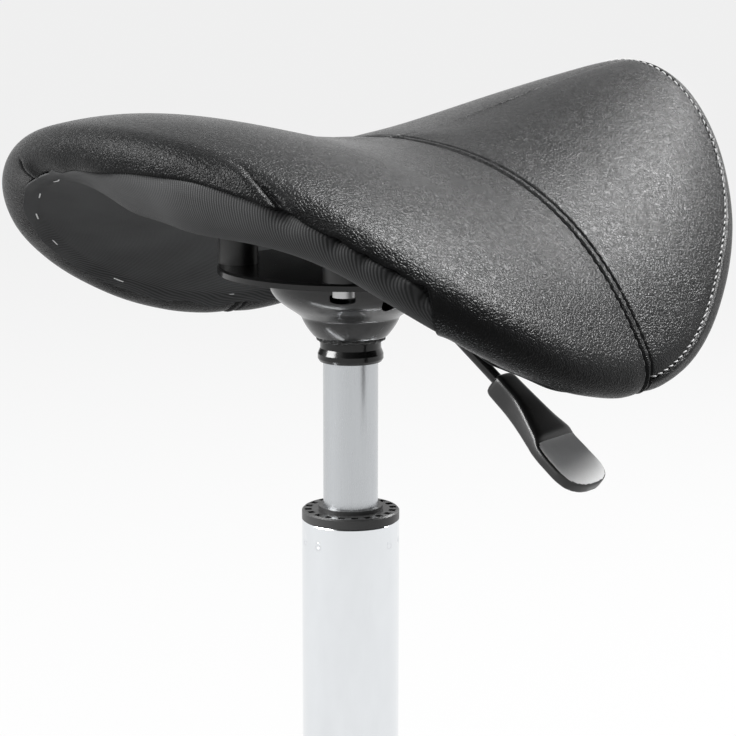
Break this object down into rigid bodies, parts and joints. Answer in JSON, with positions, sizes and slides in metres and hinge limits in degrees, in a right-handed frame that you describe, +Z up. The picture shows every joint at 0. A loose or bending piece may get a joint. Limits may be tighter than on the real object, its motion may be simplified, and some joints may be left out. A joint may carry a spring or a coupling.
{
  "type": "saddle stool",
  "caption": "Height-adjustable saddle stool with a two-ended black leather saddle seat, gas lift, side lever and star base on casters.",
  "frame": {"origin": "on the floor under the column's axis", "axes": "+Z up along the column, -Y towards the seat's front, -X towards the sitter's right"},
  "size_m": [0.5308, 0.5097, 0.535],
  "materials": {
    "leather_black": "satin",
    "ribbed_fabric": "matte",
    "foam": "matte",
    "plywood": "satin",
    "black_steel": "gloss",
    "chrome_plate": "polished",
    "zinc_steel": "satin",
    "black_plastic": "satin",
    "grey_plastic": "satin",
    "black_rubber": "matte",
    "wheel_plastic": "gloss",
    "spacer_plastic": "satin"
  },
  "bodies": {
    "base": {"lift_column": "chrome_plate", "guide_sleeve": "black_plastic", "bearing_washer_lower": "zinc_steel", "bearing_balls": "zinc_steel", "base_hub": "chrome_plate", "base_leg_1": "chrome_plate", "base_leg_2": "chrome_plate", "base_leg_3": "chrome_plate", "base_leg_4": "chrome_plate", "base_leg_5": "chrome_plate", "caster_1_stem": "zinc_steel", "caster_2_stem": "zinc_steel", "caster_3_stem": "zinc_steel", "caster_4_stem": "zinc_steel", "caster_5_stem": "zinc_steel"},
    "rod": {"lift_rod": "zinc_steel", "lift_piston": "black_plastic", "bearing_washer_upper": "zinc_steel", "lift_bumper": "black_rubber", "rod_clip": "zinc_steel"},
    "seat": {"lift_cylinder": "zinc_steel", "lift_seal": "black_plastic", "cone_socket": "black_steel", "lift_bowl": "black_steel", "seat_plate": "black_steel", "lever_saddle": "zinc_steel", "lever_pin": "zinc_steel", "seat_bolts": "zinc_steel", "seat_washers": "zinc_steel", "seat_spacers": "spacer_plastic", "seat_tnuts": "zinc_steel", "seat_shell": "plywood", "seat_foam": "foam", "cover_rear_panel": "leather_black", "cover_front_panel": "leather_black", "cover_border_band": "leather_black", "dust_cover": "ribbed_fabric", "cover_staples": "zinc_steel"},
    "lever": {"lever_rod": "black_steel", "lever_paddle": "grey_plastic"},
    "valve": {"valve_button": "zinc_steel"},
    "caster_1": {"caster_1_hood": "wheel_plastic"},
    "wheels_1": {"caster_1_axle": "zinc_steel", "caster_1_wheels": "wheel_plastic"},
    "caster_2": {"caster_2_hood": "wheel_plastic"},
    "wheels_2": {"caster_2_axle": "zinc_steel", "caster_2_wheels": "wheel_plastic"},
    "caster_3": {"caster_3_hood": "wheel_plastic"},
    "wheels_3": {"caster_3_axle": "zinc_steel", "caster_3_wheels": "wheel_plastic"},
    "caster_4": {"caster_4_hood": "wheel_plastic"},
    "wheels_4": {"caster_4_axle": "zinc_steel", "caster_4_wheels": "wheel_plastic"},
    "caster_5": {"caster_5_hood": "wheel_plastic"},
    "wheels_5": {"caster_5_axle": "zinc_steel", "caster_5_wheels": "wheel_plastic"}
  },
  "joints": [
    {"name": "seat_swivel", "type": "hinge", "parent": "base", "child": "rod", "pos_m": [0, 0, 0.0803], "axis": [0, 0, 1], "continuous": true},
    {"name": "seat_height", "type": "slide", "parent": "rod", "child": "seat", "axis": [0, 0, 1], "range_m": [-0.06, 0.08]},
    {"name": "lever_lift", "type": "hinge", "parent": "seat", "child": "lever", "pos_m": [-0.02167, -0.00382, 0.4296], "axis": [-0.1736, 0.9848, 0], "range_deg": [0, 7], "stiffness_Nm_per_rad": 0.6, "springref_deg": -17.19},
    {"name": "valve_press", "type": "slide", "parent": "seat", "child": "valve", "axis": [0, 0, -1], "range_m": [0, 0.003], "stiffness_N_per_m": 150},
    {"name": "caster_1_swivel", "type": "hinge", "parent": "base", "child": "caster_1", "pos_m": [0, -0.225, 0.0505], "axis": [0, 0, 1], "continuous": true},
    {"name": "wheels_1_spin", "type": "hinge", "parent": "caster_1", "child": "wheels_1", "pos_m": [0.01147, -0.24138, 0.025], "axis": [0.8192, 0.5736, 0], "continuous": true},
    {"name": "caster_2_swivel", "type": "hinge", "parent": "base", "child": "caster_2", "pos_m": [0.21399, -0.06953, 0.0505], "axis": [0, 0, 1], "continuous": true},
    {"name": "wheels_2_spin", "type": "hinge", "parent": "caster_2", "child": "wheels_2", "pos_m": [0.23311, -0.06368, 0.025], "axis": [-0.2924, 0.9563, 0], "continuous": true},
    {"name": "caster_3_swivel", "type": "hinge", "parent": "base", "child": "caster_3", "pos_m": [0.13225, 0.18203, 0.0505], "axis": [0, 0, 1], "continuous": true},
    {"name": "wheels_3_spin", "type": "hinge", "parent": "caster_3", "child": "wheels_3", "pos_m": [0.1326, 0.20203, 0.025], "axis": [-0.9998, 0.0175, 0], "continuous": true},
    {"name": "caster_4_swivel", "type": "hinge", "parent": "base", "child": "caster_4", "pos_m": [-0.13225, 0.18203, 0.0505], "axis": [0, 0, 1], "continuous": true},
    {"name": "wheels_4_spin", "type": "hinge", "parent": "caster_4", "child": "wheels_4", "pos_m": [-0.15116, 0.18854, 0.025], "axis": [-0.3256, -0.9455, 0], "continuous": true},
    {"name": "caster_5_swivel", "type": "hinge", "parent": "base", "child": "caster_5", "pos_m": [-0.21399, -0.06953, 0.0505], "axis": [0, 0, 1], "continuous": true},
    {"name": "wheels_5_spin", "type": "hinge", "parent": "caster_5", "child": "wheels_5", "pos_m": [-0.22602, -0.0855, 0.025], "axis": [0.7986, -0.6018, 0], "continuous": true}
  ],
  "couplings": [
    {"joint": "valve_press", "follows": "lever_lift", "m_per_rad": 0.022}
  ]
}
